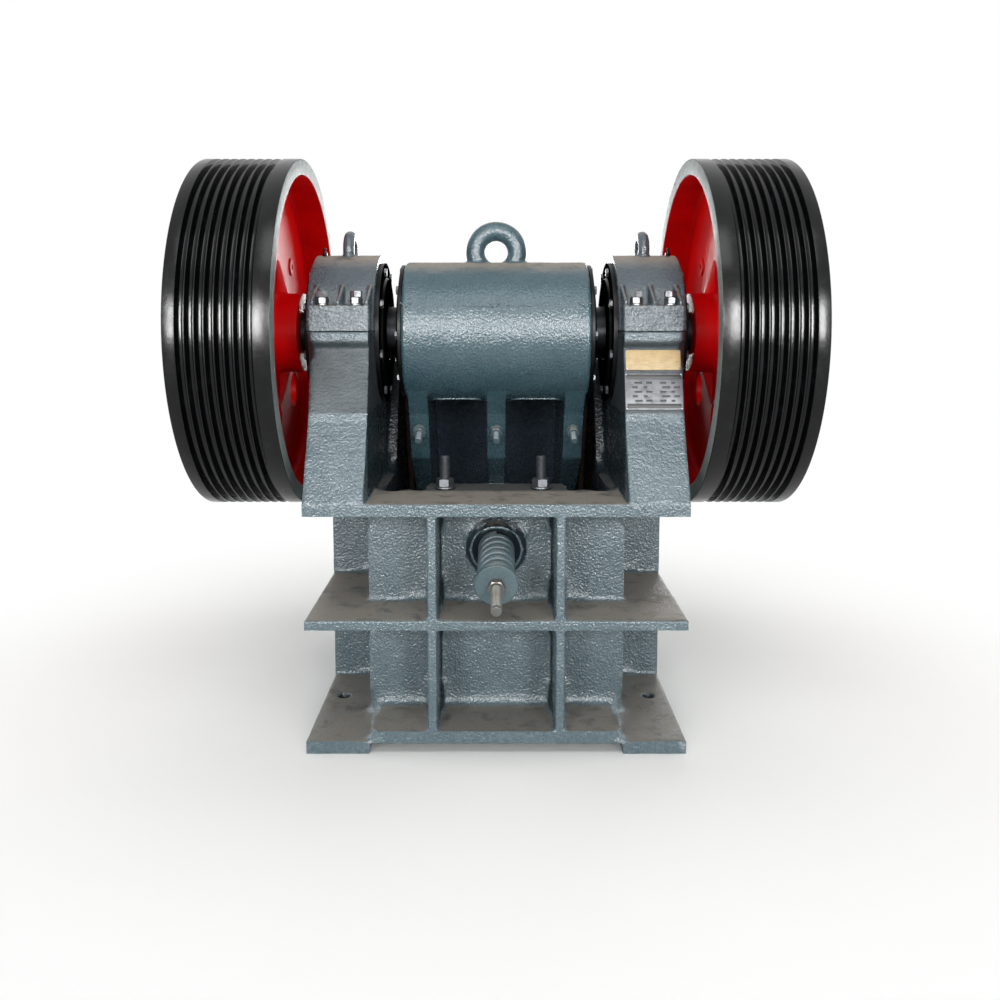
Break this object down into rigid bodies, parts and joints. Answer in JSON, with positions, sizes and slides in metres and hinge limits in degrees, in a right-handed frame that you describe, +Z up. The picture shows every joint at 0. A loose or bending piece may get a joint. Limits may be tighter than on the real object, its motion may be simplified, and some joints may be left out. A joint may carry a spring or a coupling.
{
  "type": "jaw crusher",
  "caption": "Single-toggle jaw crusher with grooved belt wheels, eccentric shaft, swinging jaw and a ribbed cast frame.",
  "frame": {"origin": "centre of the four anchor bolt holes, on the underside of the feet", "axes": "+X across the machine along the shaft, +Y from the toggle end to the feed end, +Z up"},
  "size_m": [1.726, 1.5984, 1.6748],
  "materials": {
    "frame_paint": "weathered gloss enamel over rough casting",
    "pitman_paint": "weathered gloss enamel over rough casting",
    "wheel_paint": "gloss red enamel, black grooves, light rim edge",
    "cover_paint": "gloss black enamel",
    "zinc": "zinc-plated fasteners",
    "steel": "machined steel, lightly oiled",
    "manganese_steel": "raw cast jaw steel",
    "spring_paint": "enamel with bright wear",
    "label_metal": "blank metal plate",
    "label_cream": "blank cream plate"
  },
  "bodies": {
    "frame": {"side_wall_left": "frame_paint", "side_wall_right": "frame_paint", "rear_wall": "frame_paint", "front_wall": "frame_paint", "bearing_cap_left": "frame_paint", "bearing_cap_right": "frame_paint", "cap_studs_left": "zinc", "cap_studs_right": "zinc", "main_bearing_left": "steel", "main_bearing_right": "steel", "bearing_covers_left": "cover_paint", "bearing_covers_right": "cover_paint", "fixed_jaw_plate": "manganese_steel", "cheek_plate_left": "manganese_steel", "cheek_plate_right": "manganese_steel", "toggle_block": "frame_paint", "adjusting_wedge": "frame_paint", "adjusting_studs": "zinc", "toggle_plate": "manganese_steel", "nameplate": "label_metal", "notice_plate": "label_cream", "grease_fittings": "zinc"},
    "rotor": {"eccentric_shaft": "steel", "belt_wheel_left": "wheel_paint", "belt_wheel_right": "wheel_paint", "shaft_end_plate_left": "steel", "shaft_end_plate_right": "steel"},
    "jaw": {"pitman": "pitman_paint", "swing_jaw_plate": "manganese_steel", "jaw_bolts": "zinc", "pitman_cover_left": "cover_paint", "pitman_cover_right": "cover_paint", "pitman_bearing_left": "steel", "pitman_bearing_right": "steel", "pitman_toggle_seat": "manganese_steel", "tension_rod": "steel", "rod_pin": "steel", "spring_washer": "frame_paint", "rod_nuts": "zinc", "tension_spring": "spring_paint"}
  },
  "joints": [
    {"name": "shaft_spin", "type": "hinge", "parent": "frame", "child": "rotor", "pos_m": [0, -0.24, 1.15], "axis": [1, 0, 0], "continuous": true},
    {"name": "pitman_ride", "type": "hinge", "parent": "rotor", "child": "jaw", "pos_m": [0, -0.2494, 1.15342], "axis": [1, 0, 0], "continuous": true, "deforming": ["tension_spring"]}
  ],
  "couplings": [
    {"joint": "pitman_ride", "follows": "shaft_spin", "ratio": -1}
  ]
}
